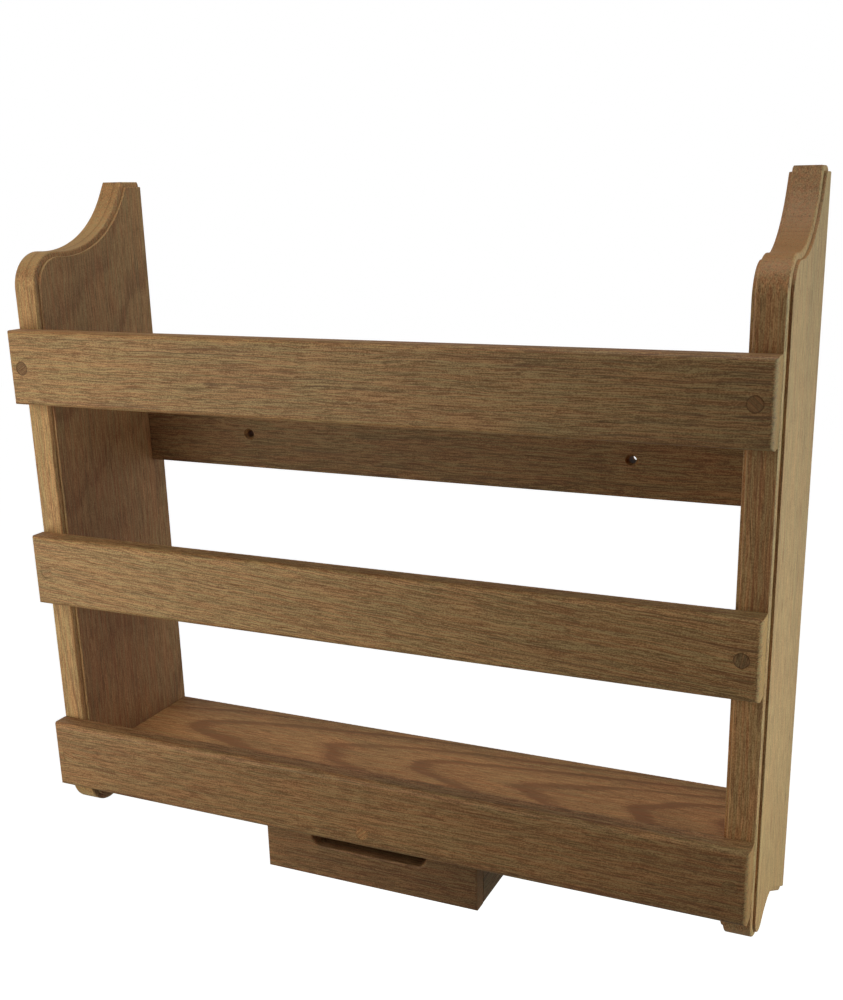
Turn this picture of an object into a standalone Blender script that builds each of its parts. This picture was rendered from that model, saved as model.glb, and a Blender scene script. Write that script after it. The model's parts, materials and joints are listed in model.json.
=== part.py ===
"""Wall-hung wooden magazine rack with three front slats and a small drawer under its shelf.

Metres, +Z up, +X to the viewer's right, and the wall is the plane y = 0 with the rack in front of it (-Y).
The origin is the centre of the back rail's rear face, where the rack is screwed to the wall.
"""

import math

import bmesh
import bpy
from mathutils import Vector

MM = 0.001
GAP = 0.3 * MM  # room between pieces that touch
OVERSHOOT = 1 * MM  # how far a cutter runs past the face that it enters

# Driving dimensions of the rack.
RACK_WIDTH = 450 * MM
PANEL_THICKNESS = 19 * MM
PANEL_DEPTH = 105 * MM
SHELF_THICKNESS = 19 * MM
SHELF_TOP_Z = -200 * MM
SLAT_HEIGHT = 43.5 * MM
SLAT_THICKNESS = 12.5 * MM
SLAT_LENGTH = 445 * MM
SLAT_PITCH = 124.8 * MM
SLAT_ROUND = 3.5 * MM
SLAT_RISE = 0.5 * MM  # the bottom slat's lower edge above the shelf's underside
RAIL_HEIGHT = 43.5 * MM
RAIL_THICKNESS = 12.5 * MM
BOARD_EASE = 0.8 * MM
WALL_HOLE_SPACING = 255 * MM

# Outline of a side panel, seen from the side.
PANEL_TOP_Z = 157.6 * MM
PANEL_BOTTOM_Z = -262.4 * MM
SHOULDER_Z = 97.1 * MM
SHOULDER_RADIUS = 21.1 * MM
SWEEP_RADIUS = 65.6 * MM
SWEEP_LEAN = math.radians(4.5)
TOP_SLOPE = math.radians(59)
FOOT_Z = -221 * MM
FOOT_RADIUS = 18 * MM
ARCH_RADIUS = 45 * MM
ARCH_LEAN = math.radians(21.8)
BOTTOM_SLOPE = math.radians(29)
ARC_STEP = math.radians(9)

# Moulding run along both edges of a panel: a shallow round, then a small square quirk.
MOULD_INSET = 3.0 * MM
MOULD_ROUND_WIDTH = 1.3 * MM
MOULD_QUIRK = 1.6 * MM
MOULD_STEPS = 4

# Fastenings.
BUNG_RADIUS = 4 * MM
BUNG_LENGTH = 4.5 * MM
BUNG_SETBACK = 0.1 * MM
COUNTERBORE_DEPTH = 7 * MM
SCREW_HEAD_RADIUS = 3.6 * MM
SCREW_HEAD_HEIGHT = 1.8 * MM
SCREW_SHANK_RADIUS = 1.9 * MM
SCREW_LENGTH = 31 * MM
SCREW_TAPER = 5 * MM
SCREW_TIP_RADIUS = 0.3 * MM
SCREW_SOCKET_LENGTH = 28 * MM
SCREW_INSET = 12 * MM  # from a panel's outer face to the slat screws' axis
WALL_HOLE_RADIUS = 2.25 * MM
WALL_SINK_RADIUS = 3.9 * MM
WALL_SINK_DEPTH = 2 * MM
RAIL_DOWEL_RADIUS = 3 * MM
SHELF_DOWEL_RADIUS = 4 * MM
SHELF_DOWEL_INSET = 20 * MM
DOWEL_LENGTH = 30 * MM
DOWEL_IN_PANEL = 12.5 * MM
DOWEL_CHAMFER = 1 * MM
ROUND_SEGMENTS = 24
HIDDEN_SEGMENTS = 16
SHARP_ANGLE = math.radians(35)

# Drawer and the parts that carry it.
DRAWER_WIDTH = 139 * MM
DRAWER_FRONT_Y = -111 * MM
DRAWER_FRONT_THICKNESS = 10 * MM
DRAWER_BACK_Y = -10 * MM
DRAWER_TOP_Z = -220 * MM
DRAWER_BOTTOM_Z = -248.5 * MM
DRAWER_WALL = 8 * MM
DRAWER_WALL_DROP = 1 * MM  # the sides and back stay below the front's top edge
DRAWER_EDGE_ROUND = 2.5 * MM
DRAWER_TRAVEL = 61 * MM
STOP_MARGIN = 1 * MM  # left between the drawer's back and its stops at full travel
NOTCH_WIDTH = 75 * MM
NOTCH_DEPTH = 7.5 * MM
NOTCH_CORNER = 6 * MM
FLOOR_THICKNESS = 3.5 * MM
FLOOR_RISE = 3.5 * MM
FLOOR_TONGUE = 3.5 * MM
RUNNER_WIDTH = 10 * MM
RUNNER_DROP = 10.2 * MM
RUNNER_SIDE_PLAY = 0.8 * MM
RUNNER_FRONT_Y = -91.5 * MM
RUNNER_BACK_Y = -12 * MM
TONGUE_HEIGHT = 5 * MM
TONGUE_REACH = 3.5 * MM
GROOVE_DEPTH = 4 * MM
RUNNER_SCREW_RADIUS = 1.5 * MM
RUNNER_SCREW_HEAD_RADIUS = 3 * MM
RUNNER_SCREW_HEAD_HEIGHT = 2 * MM
RUNNER_SCREW_LENGTH = 20 * MM
RUNNER_SOCKET_LENGTH = 12 * MM
RUNNER_SCREW_INSET = 14 * MM
STOP_SIZE = Vector((14, 8, 4.7)) * MM
STOP_X = 51 * MM

# Worked out from the dimensions above.
PANEL_OUTER_X = RACK_WIDTH / 2
PANEL_INNER_X = PANEL_OUTER_X - PANEL_THICKNESS
PANEL_CENTRE_X = PANEL_OUTER_X - PANEL_THICKNESS / 2
FRONT_Y = -PANEL_DEPTH
SLAT_FRONT_Y = FRONT_Y - SLAT_THICKNESS
SHELF_BOTTOM_Z = SHELF_TOP_Z - SHELF_THICKNESS
SHELF_MIDDLE_Z = SHELF_TOP_Z - SHELF_THICKNESS / 2
LOWEST_SLAT_Z = SHELF_BOTTOM_Z + SLAT_RISE + SLAT_HEIGHT / 2
SCREW_X = PANEL_OUTER_X - SCREW_INSET
SLAT_NAMES = ("bottom", "middle", "top")
SLAT_Z = {name: LOWEST_SLAT_Z + SLAT_PITCH * step for step, name in enumerate(SLAT_NAMES)}
SIDES = {"left": -1, "right": 1}
RAIL_DOWEL_Z = (-RAIL_HEIGHT / 4, RAIL_HEIGHT / 4)
SHELF_DOWEL_Y = (-SHELF_DOWEL_INSET, FRONT_Y / 2, FRONT_Y + SHELF_DOWEL_INSET)
DRAWER_HALF = DRAWER_WIDTH / 2
DRAWER_INSIDE_X = DRAWER_HALF - DRAWER_WALL
DRAWER_FRONT_BACK_Y = DRAWER_FRONT_Y + DRAWER_FRONT_THICKNESS
DRAWER_WALL_TOP_Z = DRAWER_TOP_Z - DRAWER_WALL_DROP
FLOOR_BOTTOM_Z = DRAWER_BOTTOM_Z + FLOOR_RISE
FLOOR_TOP_Z = FLOOR_BOTTOM_Z + FLOOR_THICKNESS
RUNNER_TOP_Z = SHELF_BOTTOM_Z - GAP
RUNNER_BOTTOM_Z = RUNNER_TOP_Z - RUNNER_DROP
RUNNER_INNER_X = DRAWER_HALF + RUNNER_SIDE_PLAY
TONGUE_TOP_Z = RUNNER_BOTTOM_Z + TONGUE_HEIGHT
STOP_BACK_Y = DRAWER_BACK_Y - DRAWER_WALL - DRAWER_TRAVEL - STOP_MARGIN


def clear_scene():
    for old in list(bpy.data.objects):
        bpy.data.objects.remove(old)


def material(name, colour, roughness, metallic=0.0):
    made = bpy.data.materials.new(name)
    made.use_nodes = True
    shader = made.node_tree.nodes["Principled BSDF"]
    shader.inputs["Base Color"].default_value = (*colour, 1.0)
    shader.inputs["Roughness"].default_value = roughness
    shader.inputs["Metallic"].default_value = metallic
    return made


def place(name, mesh, finish, parent, location=(0, 0, 0), direction=None):
    """A named object; direction turns its local +Z to point that way."""
    made = bpy.data.objects.new(name, mesh)
    bpy.context.scene.collection.objects.link(made)
    made.parent = parent
    made.location = Vector(location) - (parent.location if parent else Vector())
    if direction is not None:
        made.rotation_mode = "QUATERNION"
        made.rotation_quaternion = Vector((0, 0, 1)).rotation_difference(Vector(direction))
    if not mesh.materials:
        mesh.materials.append(finish)
    return made


def empty(name, location=(0, 0, 0)):
    made = bpy.data.objects.new(name, None)
    bpy.context.scene.collection.objects.link(made)
    made.location = location
    return made


def mesh_from(name, bm):
    bmesh.ops.recalc_face_normals(bm, faces=bm.faces[:])
    mesh = bpy.data.meshes.new(name)
    bm.to_mesh(mesh)
    bm.free()
    return mesh


def add_box(bm, low, high):
    """Adds a box between two corners to bm and returns its vertices."""
    low, high = Vector(low), Vector(high)
    verts = bmesh.ops.create_cube(bm, size=1)["verts"]
    bmesh.ops.scale(bm, vec=high - low, verts=verts)
    bmesh.ops.translate(bm, vec=(low + high) / 2, verts=verts)
    return verts


def bevel_edges(bm, chosen, width, segments):
    """Rounds each edge for which chosen(one end, other end) is true."""
    edges = [edge for edge in bm.edges if chosen(edge.verts[0].co, edge.verts[1].co)]
    bmesh.ops.bevel(bm, geom=edges, offset=width, segments=segments, profile=0.5, affect="EDGES")


def turned(name, profile, segments=HIDDEN_SEGMENTS):
    """A solid turned about local +Z from (radius, height) pairs, bottom to top."""
    bm = bmesh.new()
    angles = [2 * math.pi * step / segments for step in range(segments)]
    rings = []
    for radius, height in profile:
        rings.append([bm.verts.new((radius * math.cos(a), radius * math.sin(a), height)) for a in angles])
    for lower, upper in zip(rings, rings[1:]):
        for here in range(segments):
            after = (here + 1) % segments
            bm.faces.new((lower[here], lower[after], upper[after], upper[here]))
    bm.faces.new(rings[0])
    bm.faces.new(rings[-1])
    mesh = mesh_from(name, bm)
    mesh.shade_smooth()
    mesh.set_sharp_from_angle(angle=SHARP_ANGLE)
    return mesh


def cylinder(name, radius, length, segments=HIDDEN_SEGMENTS):
    return turned(name, [(radius, 0), (radius, length)], segments)


def dowel(name, radius):
    """A dowel pin with a chamfer at each end."""
    slim, shoulder = radius - DOWEL_CHAMFER, DOWEL_LENGTH - DOWEL_CHAMFER
    return turned(name, [(slim, 0), (radius, DOWEL_CHAMFER), (radius, shoulder), (slim, DOWEL_LENGTH)])


def cut(target, cutter_mesh, location=(0, 0, 0), direction=None):
    """Subtracts a mesh from target with a Boolean that stays on the object."""
    count = len(target.modifiers)
    cutter = place(f"{target.name}_cutter_{count}", cutter_mesh, CUTTER_FINISH, None, location, direction)
    cutter.hide_render = True
    cutter.display_type = "WIRE"
    difference = target.modifiers.new(f"cut_{count}", "BOOLEAN")
    difference.operation = "DIFFERENCE"
    difference.solver = "EXACT"
    difference.object = cutter


def cut_box(target, low, high):
    bm = bmesh.new()
    add_box(bm, low, high)
    cut(target, mesh_from(f"{target.name}_slot", bm))


def arc(centre, radius, start, end):
    """Points on an arc, both ends included, at steps of about ARC_STEP."""
    steps = max(2, math.ceil(abs(end - start) / ARC_STEP))
    angles = [start + (end - start) * step / steps for step in range(steps + 1)]
    return [(centre[0] + radius * math.cos(a), centre[1] + radius * math.sin(a)) for a in angles]


def panel_outline(inset):
    """The (y, z) outline of a side panel, moved inwards by inset everywhere but at the back edge."""
    quarter = math.pi / 2
    foot = (FRONT_Y + FOOT_RADIUS, FOOT_Z)
    reach = FOOT_RADIUS + ARCH_RADIUS
    arch = (foot[0] + reach * math.sin(ARCH_LEAN), foot[1] - reach * math.cos(ARCH_LEAN))
    shoulder = (FRONT_Y + SHOULDER_RADIUS, SHOULDER_Z)
    reach = SHOULDER_RADIUS + SWEEP_RADIUS
    sweep = (shoulder[0] + reach * math.sin(SWEEP_LEAN), shoulder[1] + reach * math.cos(SWEEP_LEAN))

    under = arc(arch, ARCH_RADIUS + inset, quarter - BOTTOM_SLOPE, quarter + ARCH_LEAN)
    nose = arc(foot, FOOT_RADIUS - inset, ARCH_LEAN - quarter, -math.pi)
    brow = arc(shoulder, SHOULDER_RADIUS - inset, math.pi, quarter - SWEEP_LEAN)
    neck = arc(sweep, SWEEP_RADIUS + inset, -quarter - SWEEP_LEAN, TOP_SLOPE - quarter)

    bottom_z = PANEL_BOTTOM_Z + inset
    top_z = PANEL_TOP_Z - inset
    bottom_y = under[0][0] + (under[0][1] - bottom_z) / math.tan(BOTTOM_SLOPE)
    top_y = neck[-1][0] + (top_z - neck[-1][1]) / math.tan(TOP_SLOPE)
    ends = [(0.0, bottom_z), (bottom_y, bottom_z)]
    return ends + under + nose[1:] + brow + neck[1:] + [(top_y, top_z), (0.0, top_z)]


def moulding():
    """(distance in from the panel's outer face, outline inset) pairs across one moulded edge."""
    rings = [(0.0, MOULD_INSET)]
    for step in range(MOULD_STEPS + 1):
        turn = math.pi / 2 * step / MOULD_STEPS
        across = MOULD_QUIRK + MOULD_ROUND_WIDTH * (1 - math.cos(turn))
        rings.append((across, MOULD_INSET * (1 - math.sin(turn))))
    return rings


def side_panel_mesh(name):
    """A panel centred on x = 0, with its moulding on both faces."""
    bm = bmesh.new()
    half = PANEL_THICKNESS / 2
    left = [(-half + across, inset) for across, inset in moulding()]
    right = [(-x, inset) for x, inset in reversed(left)]
    rings = []
    for x, inset in left + right:
        rings.append([bm.verts.new((x, y, z)) for y, z in panel_outline(inset)])
    count = len(rings[0])
    for near, far in zip(rings, rings[1:]):
        for here in range(count):
            after = (here + 1) % count
            bm.faces.new((near[here], near[after], far[after], far[here]))
    bm.faces.new(rings[0])
    bm.faces.new(rings[-1])
    return mesh_from(name, bm)


def make_side_panel(side):
    sign = SIDES[side]
    name = f"{side}_side_panel"
    panel = place(name, side_panel_mesh(name), TEAK_SIDE, RACK, (sign * PANEL_CENTRE_X, 0, 0))
    inner_x = sign * (PANEL_INNER_X - OVERSHOOT)
    outwards = (sign, 0, 0)
    for z in RAIL_DOWEL_Z:
        cut(panel, RAIL_SOCKET, (inner_x, -RAIL_THICKNESS / 2, z), outwards)
    for y in SHELF_DOWEL_Y:
        cut(panel, SHELF_SOCKET, (inner_x, y, SHELF_MIDDLE_Z), outwards)
    for z in SLAT_Z.values():
        cut(panel, SCREW_SOCKET, (sign * SCREW_X, FRONT_Y - OVERSHOOT, z), (0, 1, 0))


def make_slat(row):
    z = SLAT_Z[row]
    bm = bmesh.new()
    low = (-SLAT_LENGTH / 2, SLAT_FRONT_Y, z - SLAT_HEIGHT / 2)
    high = (SLAT_LENGTH / 2, FRONT_Y - GAP, z + SLAT_HEIGHT / 2)
    add_box(bm, low, high)
    bevel_edges(bm, lambda a, b: max(a.y, b.y) < SLAT_FRONT_Y + MM, SLAT_ROUND, 3)
    name = f"{row}_front_slat"
    slat = place(name, mesh_from(name, bm), TEAK_SLAT, RACK)
    fixings = {side: (sign * SCREW_X, z) for side, sign in SIDES.items()}
    if row == "bottom":
        fixings["centre"] = (0.0, SHELF_MIDDLE_Z)
    for spot, (x, fixing_z) in fixings.items():
        cut(slat, COUNTERBORE, (x, SLAT_FRONT_Y - OVERSHOOT, fixing_z), (0, 1, 0))
        cut(slat, SCREW_SOCKET, (x, SLAT_FRONT_Y, fixing_z), (0, 1, 0))
        screw_y = SLAT_FRONT_Y + COUNTERBORE_DEPTH - GAP - SCREW_HEAD_HEIGHT
        place(f"{row}_slat_{spot}_screw", SCREW, STEEL, RACK, (x, screw_y, fixing_z), (0, 1, 0))
        bung_y = SLAT_FRONT_Y + BUNG_SETBACK
        place(f"{row}_slat_{spot}_bung", BUNG, BUNG_WOOD, RACK, (x, bung_y, fixing_z), (0, 1, 0))


def make_board(name, low, high, finish, parent):
    """A plain board whose long edges, along X, are slightly eased."""
    bm = bmesh.new()
    add_box(bm, low, high)
    bevel_edges(bm, lambda a, b: abs(a.x - b.x) > MM, BOARD_EASE, 1)
    return place(name, mesh_from(name, bm), finish, parent)


def make_back_rail():
    end_x = PANEL_INNER_X - GAP
    low = (-end_x, -RAIL_THICKNESS, -RAIL_HEIGHT / 2)
    rail = make_board("back_rail", low, (end_x, 0, RAIL_HEIGHT / 2), TEAK_RAIL, RACK)
    for x in (-WALL_HOLE_SPACING / 2, WALL_HOLE_SPACING / 2):
        cut(rail, WALL_HOLE, (x, -RAIL_THICKNESS - OVERSHOOT, 0), (0, 1, 0))
    cut_dowel_holes(rail, RAIL_HOLE, [(-RAIL_THICKNESS / 2, z) for z in RAIL_DOWEL_Z])
    for side, sign in SIDES.items():
        for level, z in zip(("lower", "upper"), RAIL_DOWEL_Z):
            spot = (dowel_start_x(sign), -RAIL_THICKNESS / 2, z)
            place(f"{side}_{level}_rail_dowel", RAIL_DOWEL, BEECH, RACK, spot, (sign, 0, 0))


def make_shelf():
    end_x = PANEL_INNER_X - GAP
    low = (-end_x, FRONT_Y, SHELF_BOTTOM_Z)
    shelf = make_board("bottom_shelf", low, (end_x, 0, SHELF_TOP_Z), TEAK_SHELF, RACK)
    cut(shelf, SCREW_SOCKET, (0, FRONT_Y - OVERSHOOT, SHELF_MIDDLE_Z), (0, 1, 0))
    cut_dowel_holes(shelf, SHELF_HOLE, [(y, SHELF_MIDDLE_Z) for y in SHELF_DOWEL_Y])
    for x, y in runner_screw_spots():
        cut(shelf, RUNNER_SCREW_SOCKET, (x, y, SHELF_BOTTOM_Z - OVERSHOOT), (0, 0, 1))
    for side, sign in SIDES.items():
        for row, y in zip(("back", "middle", "front"), SHELF_DOWEL_Y):
            spot = (dowel_start_x(sign), y, SHELF_MIDDLE_Z)
            place(f"{side}_{row}_shelf_dowel", SHELF_DOWEL, BEECH, RACK, spot, (sign, 0, 0))


def dowel_start_x(sign):
    """Where a dowel's inner end lies: most of it is in the board, the rest in the panel."""
    return sign * (PANEL_INNER_X + DOWEL_IN_PANEL - DOWEL_LENGTH)


def cut_dowel_holes(board, hole, centres):
    for sign in SIDES.values():
        for y, z in centres:
            cut(board, hole, (sign * (PANEL_INNER_X + OVERSHOOT), y, z), (-sign, 0, 0))


def runner_screw_spots():
    x = RUNNER_INNER_X + RUNNER_WIDTH / 2
    ends = (RUNNER_FRONT_Y + RUNNER_SCREW_INSET, RUNNER_BACK_Y - RUNNER_SCREW_INSET)
    return [(sign * x, y) for sign in SIDES.values() for y in ends]


def make_runner(side):
    """An L-shaped strip under the shelf whose tongue carries the drawer's side."""
    sign = SIDES[side]
    corners = [
        (RUNNER_INNER_X, RUNNER_TOP_Z),
        (RUNNER_INNER_X + RUNNER_WIDTH, RUNNER_TOP_Z),
        (RUNNER_INNER_X + RUNNER_WIDTH, RUNNER_BOTTOM_Z),
        (RUNNER_INNER_X - RUNNER_SIDE_PLAY - TONGUE_REACH, RUNNER_BOTTOM_Z),
        (RUNNER_INNER_X - RUNNER_SIDE_PLAY - TONGUE_REACH, TONGUE_TOP_Z),
        (RUNNER_INNER_X, TONGUE_TOP_Z),
    ]
    bm = bmesh.new()
    end_face = bm.faces.new([bm.verts.new((sign * x, RUNNER_FRONT_Y, z)) for x, z in corners])
    pulled = bmesh.ops.extrude_face_region(bm, geom=[end_face])["geom"]
    moved = [item for item in pulled if isinstance(item, bmesh.types.BMVert)]
    bmesh.ops.translate(bm, vec=(0, RUNNER_BACK_Y - RUNNER_FRONT_Y, 0), verts=moved)
    name = f"{side}_drawer_runner"
    runner = place(name, mesh_from(name, bm), TEAK_DRAWER, RACK)
    spots = [spot for spot in runner_screw_spots() if spot[0] * sign > 0]
    for end, (x, y) in zip(("front", "back"), spots):
        cut(runner, RUNNER_SINK, (x, y, RUNNER_BOTTOM_Z - OVERSHOOT), (0, 0, 1))
        screw_z = RUNNER_BOTTOM_Z + BUNG_SETBACK
        place(f"{side}_runner_{end}_screw", RUNNER_SCREW, STEEL, RACK, (x, y, screw_z), (0, 0, 1))
    stop_z = SHELF_BOTTOM_Z - GAP
    low = Vector((sign * STOP_X - STOP_SIZE.x / 2, STOP_BACK_Y - STOP_SIZE.y, stop_z - STOP_SIZE.z))
    make_board(f"{side}_drawer_stop", low, low + STOP_SIZE, TEAK_DRAWER, RACK)


def make_drawer_front():
    bm = bmesh.new()
    low = (-DRAWER_HALF, DRAWER_FRONT_Y, DRAWER_BOTTOM_Z)
    add_box(bm, low, (DRAWER_HALF, DRAWER_FRONT_BACK_Y, DRAWER_TOP_Z))
    in_front = DRAWER_FRONT_Y + MM
    below_top = DRAWER_TOP_Z - MM
    rounded = lambda a, b: max(a.y, b.y) < in_front and min(a.z, b.z) < below_top
    bevel_edges(bm, rounded, DRAWER_EDGE_ROUND, 3)
    front = place("drawer_front", mesh_from("drawer_front", bm), TEAK_DRAWER, DRAWER)

    notch = bmesh.new()
    half = NOTCH_WIDTH / 2
    low_z = DRAWER_TOP_Z - NOTCH_DEPTH
    high = (half, DRAWER_FRONT_BACK_Y + OVERSHOOT, DRAWER_TOP_Z + OVERSHOOT)
    add_box(notch, (-half, DRAWER_FRONT_Y - OVERSHOOT, low_z), high)
    lower_corner = lambda a, b: max(a.z, b.z) < low_z + MM and abs(a.x - b.x) < MM
    bevel_edges(notch, lower_corner, NOTCH_CORNER, 4)
    cut(front, mesh_from("notch", notch))
    groove_x = DRAWER_INSIDE_X + FLOOR_TONGUE + GAP
    groove_y = DRAWER_FRONT_BACK_Y - FLOOR_TONGUE - GAP
    low = (-groove_x, groove_y, FLOOR_BOTTOM_Z - GAP)
    cut_box(front, low, (groove_x, DRAWER_FRONT_BACK_Y + OVERSHOOT, FLOOR_TOP_Z + GAP))


def make_drawer_side(side):
    sign = SIDES[side]
    xs = sorted((sign * DRAWER_INSIDE_X, sign * DRAWER_HALF))
    bm = bmesh.new()
    low = (xs[0], DRAWER_FRONT_BACK_Y + GAP, DRAWER_BOTTOM_Z)
    add_box(bm, low, (xs[1], DRAWER_BACK_Y, DRAWER_WALL_TOP_Z))
    name = f"drawer_{side}_side"
    wall = place(name, mesh_from(name, bm), TEAK_DRAWER, DRAWER)

    past_back = DRAWER_BACK_Y + OVERSHOOT
    xs = sorted((sign * (DRAWER_INSIDE_X - OVERSHOOT), sign * (DRAWER_INSIDE_X + FLOOR_TONGUE + GAP)))
    low = (xs[0], DRAWER_FRONT_BACK_Y - OVERSHOOT, FLOOR_BOTTOM_Z - GAP)
    cut_box(wall, low, (xs[1], past_back, FLOOR_TOP_Z + GAP))
    xs = sorted((sign * (DRAWER_HALF - GROOVE_DEPTH), sign * (DRAWER_HALF + OVERSHOOT)))
    low = (xs[0], RUNNER_FRONT_Y - 2 * GAP, RUNNER_BOTTOM_Z - 2 * GAP)
    cut_box(wall, low, (xs[1], past_back, TONGUE_TOP_Z + GAP))


def make_drawer():
    make_drawer_front()
    for side in SIDES:
        make_drawer_side(side)
    back_x = DRAWER_INSIDE_X - GAP
    low = (-back_x, DRAWER_BACK_Y - DRAWER_WALL, FLOOR_TOP_Z + GAP)
    make_board("drawer_back", low, (back_x, DRAWER_BACK_Y, DRAWER_WALL_TOP_Z), TEAK_DRAWER, DRAWER)
    floor_x = DRAWER_INSIDE_X + FLOOR_TONGUE
    bm = bmesh.new()
    low = (-floor_x, DRAWER_FRONT_BACK_Y - FLOOR_TONGUE, FLOOR_BOTTOM_Z)
    add_box(bm, low, (floor_x, DRAWER_BACK_Y, FLOOR_TOP_Z))
    place("drawer_floor", mesh_from("drawer_floor", bm), PLYWOOD, DRAWER)


clear_scene()

TEAK_SIDE = material("teak_side", (0.30, 0.19, 0.10), 0.55)
TEAK_SLAT = material("teak_slat", (0.26, 0.16, 0.08), 0.5)
TEAK_RAIL = material("teak_rail", (0.20, 0.12, 0.06), 0.55)
TEAK_SHELF = material("teak_shelf", (0.27, 0.16, 0.09), 0.5)
TEAK_DRAWER = material("teak_drawer", (0.24, 0.15, 0.08), 0.55)
BUNG_WOOD = material("teak_bung", (0.28, 0.15, 0.08), 0.5)
BEECH = material("beech_dowel", (0.62, 0.45, 0.29), 0.6)
PLYWOOD = material("plywood", (0.52, 0.38, 0.24), 0.65)
STEEL = material("steel", (0.56, 0.55, 0.53), 0.35, 1.0)
CUTTER_FINISH = material("cutter", (0.5, 0.5, 0.5), 0.5)

RACK = empty("rack")
DRAWER = empty("drawer_slide", (0, DRAWER_FRONT_Y, (DRAWER_TOP_Z + DRAWER_BOTTOM_Z) / 2))

BUNG = cylinder("bung", BUNG_RADIUS, BUNG_LENGTH, ROUND_SEGMENTS)
SCREW = turned(
    "slat_screw",
    [
        (SCREW_HEAD_RADIUS * 0.8, 0),
        (SCREW_HEAD_RADIUS, SCREW_HEAD_HEIGHT / 2),
        (SCREW_HEAD_RADIUS, SCREW_HEAD_HEIGHT),
        (SCREW_SHANK_RADIUS, SCREW_HEAD_HEIGHT),
        (SCREW_SHANK_RADIUS, SCREW_LENGTH - SCREW_TAPER),
        (SCREW_TIP_RADIUS, SCREW_LENGTH),
    ],
)
RUNNER_SCREW = turned(
    "runner_screw",
    [
        (RUNNER_SCREW_HEAD_RADIUS, 0),
        (RUNNER_SCREW_RADIUS, RUNNER_SCREW_HEAD_HEIGHT),
        (RUNNER_SCREW_RADIUS, RUNNER_SCREW_LENGTH - SCREW_TAPER),
        (SCREW_TIP_RADIUS, RUNNER_SCREW_LENGTH),
    ],
)
RAIL_DOWEL = dowel("rail_dowel", RAIL_DOWEL_RADIUS)
SHELF_DOWEL = dowel("shelf_dowel", SHELF_DOWEL_RADIUS)

# The cutters' lengths include their overshoot.
SCREW_SOCKET = cylinder("screw_socket", SCREW_SHANK_RADIUS + GAP, SCREW_SOCKET_LENGTH)
BORE_DEPTH = COUNTERBORE_DEPTH + OVERSHOOT
COUNTERBORE = cylinder("counterbore", BUNG_RADIUS + GAP / 2, BORE_DEPTH, ROUND_SEGMENTS)
PANEL_SOCKET_DEPTH = DOWEL_IN_PANEL + GAP + OVERSHOOT
BOARD_HOLE_DEPTH = DOWEL_LENGTH - DOWEL_IN_PANEL + GAP + OVERSHOOT
RAIL_SOCKET = cylinder("rail_socket", RAIL_DOWEL_RADIUS + GAP, PANEL_SOCKET_DEPTH)
SHELF_SOCKET = cylinder("shelf_socket", SHELF_DOWEL_RADIUS + GAP, PANEL_SOCKET_DEPTH)
RAIL_HOLE = cylinder("rail_hole", RAIL_DOWEL_RADIUS + GAP, BOARD_HOLE_DEPTH)
SHELF_HOLE = cylinder("shelf_hole", SHELF_DOWEL_RADIUS + GAP, BOARD_HOLE_DEPTH)
WALL_HOLE = turned(
    "wall_hole",
    [
        (WALL_SINK_RADIUS, 0),
        (WALL_SINK_RADIUS, OVERSHOOT),
        (WALL_HOLE_RADIUS, OVERSHOOT + WALL_SINK_DEPTH),
        (WALL_HOLE_RADIUS, RAIL_THICKNESS + 2 * OVERSHOOT),
    ],
    ROUND_SEGMENTS,
)
RUNNER_SCREW_SOCKET = cylinder("runner_socket", RUNNER_SCREW_RADIUS + GAP, RUNNER_SOCKET_LENGTH)
RUNNER_SINK = turned(
    "runner_sink",
    [
        (RUNNER_SCREW_HEAD_RADIUS + GAP, 0),
        (RUNNER_SCREW_HEAD_RADIUS + GAP, OVERSHOOT),
        (RUNNER_SCREW_RADIUS + GAP, OVERSHOOT + RUNNER_SCREW_HEAD_HEIGHT),
        (RUNNER_SCREW_RADIUS + GAP, RUNNER_DROP + 2 * OVERSHOOT),
    ],
)

for panel_side in SIDES:
    make_side_panel(panel_side)
for slat_row in SLAT_NAMES:
    make_slat(slat_row)
make_back_rail()
make_shelf()
for runner_side in SIDES:
    make_runner(runner_side)
make_drawer()
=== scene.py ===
"""The looks of a wall-hung teak magazine rack.

Each board, plug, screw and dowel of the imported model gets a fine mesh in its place, in metres, and every
piece has a procedural wood or metal material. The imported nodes' boxes say where the pieces go.
"""

import json
import math

import bmesh
import bpy
from mathutils import Matrix, Vector


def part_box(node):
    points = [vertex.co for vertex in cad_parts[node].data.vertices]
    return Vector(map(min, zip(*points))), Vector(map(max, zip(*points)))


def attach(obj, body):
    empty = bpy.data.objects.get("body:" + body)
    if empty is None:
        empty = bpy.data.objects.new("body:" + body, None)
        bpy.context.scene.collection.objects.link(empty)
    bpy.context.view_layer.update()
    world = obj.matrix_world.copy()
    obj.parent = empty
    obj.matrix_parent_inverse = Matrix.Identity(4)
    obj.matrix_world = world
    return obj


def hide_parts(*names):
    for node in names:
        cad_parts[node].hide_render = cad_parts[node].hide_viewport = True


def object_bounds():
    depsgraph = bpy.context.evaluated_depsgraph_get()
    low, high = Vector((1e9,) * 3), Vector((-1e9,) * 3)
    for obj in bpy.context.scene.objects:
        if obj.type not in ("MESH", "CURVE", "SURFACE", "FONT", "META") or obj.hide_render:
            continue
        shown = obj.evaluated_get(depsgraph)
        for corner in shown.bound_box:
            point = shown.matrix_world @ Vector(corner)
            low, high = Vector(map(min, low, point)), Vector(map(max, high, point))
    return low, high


MM = 0.001
X, Y, Z = range(3)
BACKWARD = (0, 1, 0)
UP = (0, 0, 1)
QUARTER = math.pi / 2
WHITE = (1, 1, 1)
ROWS = ("top", "middle", "bottom")
SIDES = {"left": -1, "right": 1}

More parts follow.
